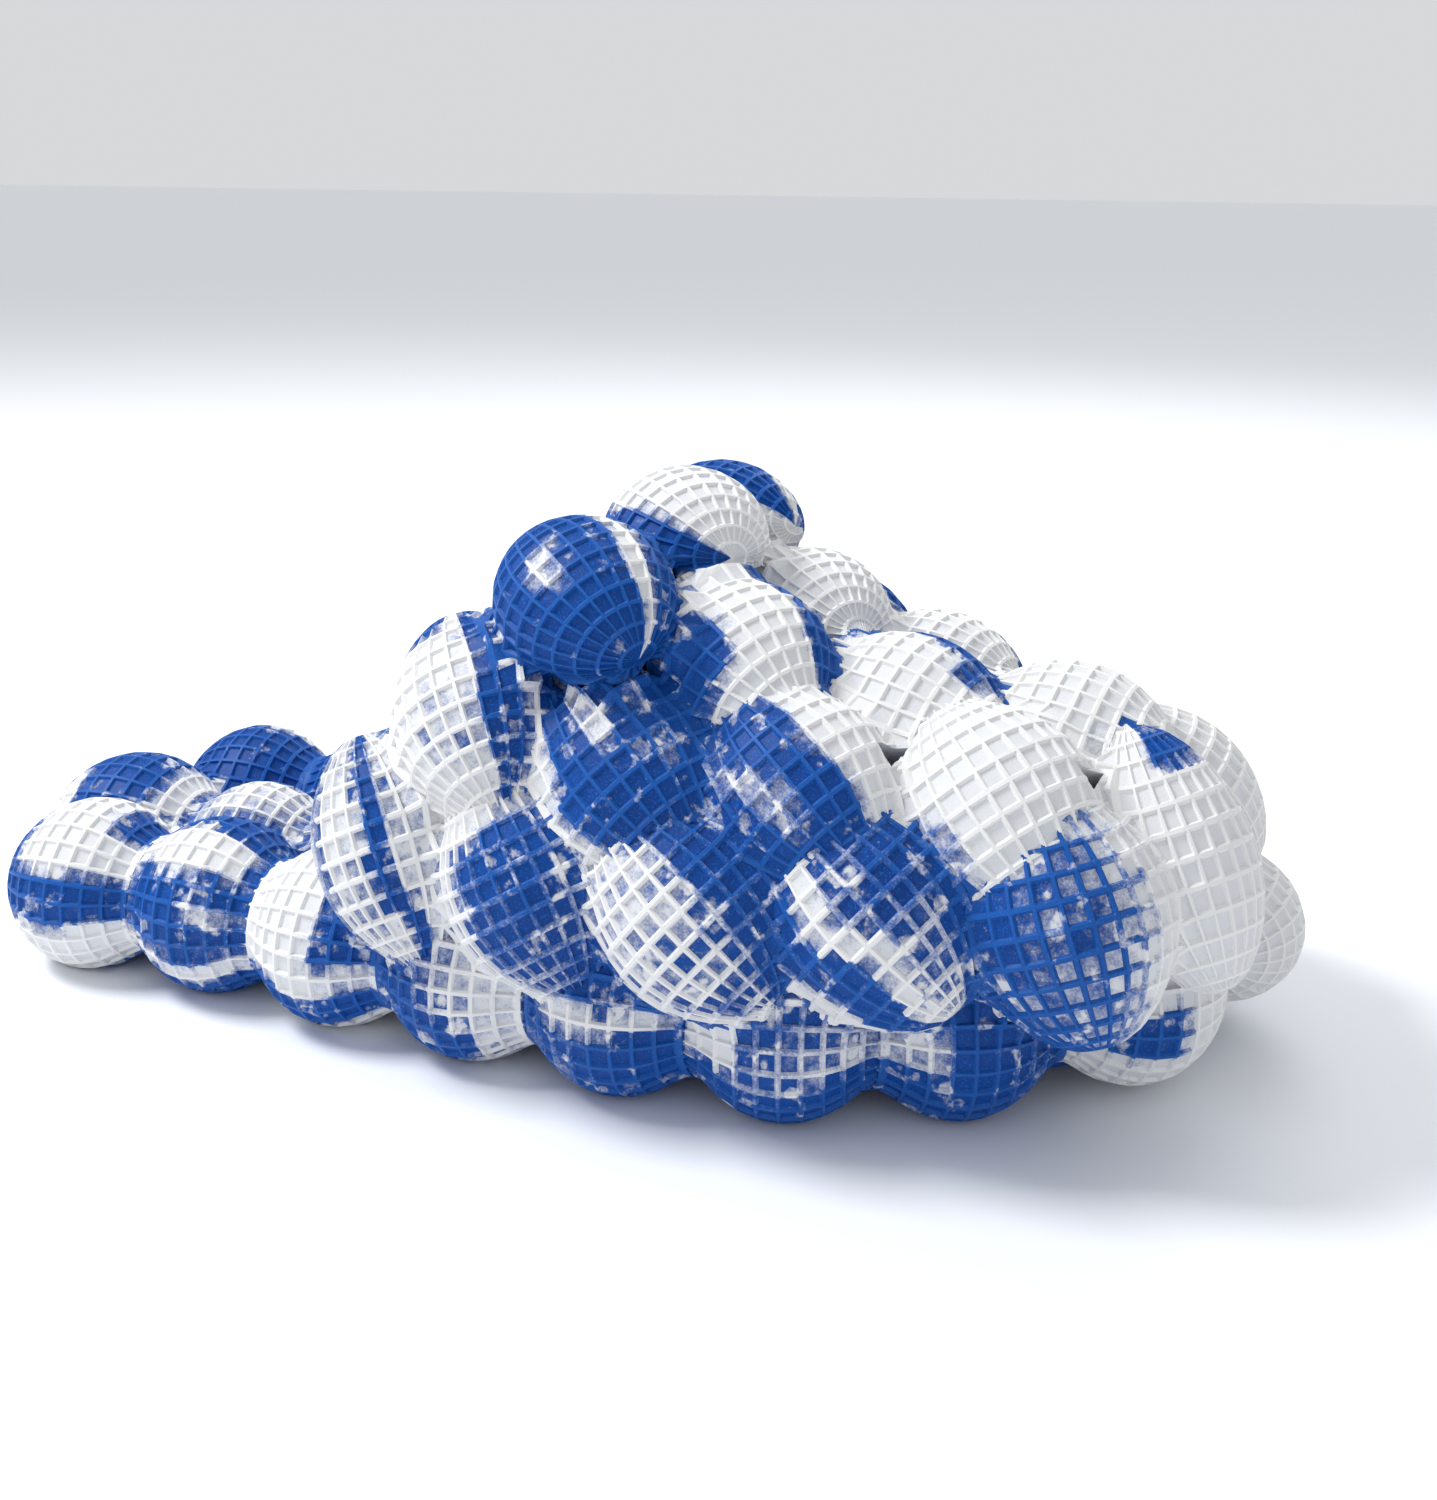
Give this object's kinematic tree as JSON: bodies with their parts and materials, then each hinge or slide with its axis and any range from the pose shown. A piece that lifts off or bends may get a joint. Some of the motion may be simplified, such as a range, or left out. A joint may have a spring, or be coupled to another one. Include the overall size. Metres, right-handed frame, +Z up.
{
  "type": "foam bubble slide sandal",
  "caption": "Backless foam slide for a right foot, covered in round ribbed massage bubbles, with a sole that flexes behind the open vamp.",
  "frame": {"origin": "on the floor, on the flat under a bubble at the middle of the sole", "axes": "+X to the toe, +Y to the inner side of the foot, +Z up"},
  "size_m": [0.2792, 0.1239, 0.11],
  "materials": {
    "sole_foam": "satin EVA foam, mostly cobalt blue marbled with white",
    "vamp_foam": "satin EVA foam, white marbled with cobalt blue"
  },
  "bodies": {
    "forefoot": {"forefoot_sole": "sole_foam"},
    "heel_front": {"heel_front_sole": "sole_foam"},
    "heel_end": {"heel_end_sole": "sole_foam"},
    "upper": {"vamp": "vamp_foam"}
  },
  "joints": [
    {"name": "sole_flex", "type": "hinge", "parent": "forefoot", "child": "heel_front", "pos_m": [-0.056, 0, 0.0335], "axis": [0, 1, 0], "range_deg": [0, 14], "stiffness_Nm_per_rad": 2},
    {"name": "heel_flex", "type": "hinge", "parent": "heel_front", "child": "heel_end", "pos_m": [-0.0875, 0, 0.0335], "axis": [0, 1, 0], "range_deg": [0, 14], "stiffness_Nm_per_rad": 2},
    {"name": "vamp_flex", "type": "hinge", "parent": "forefoot", "child": "upper", "pos_m": [0.138, 0, 0.03], "axis": [0, 1, 0], "range_deg": [0, 6], "stiffness_Nm_per_rad": 6}
  ],
  "couplings": [
    {"joint": "heel_flex", "follows": "sole_flex", "ratio": 1}
  ]
}
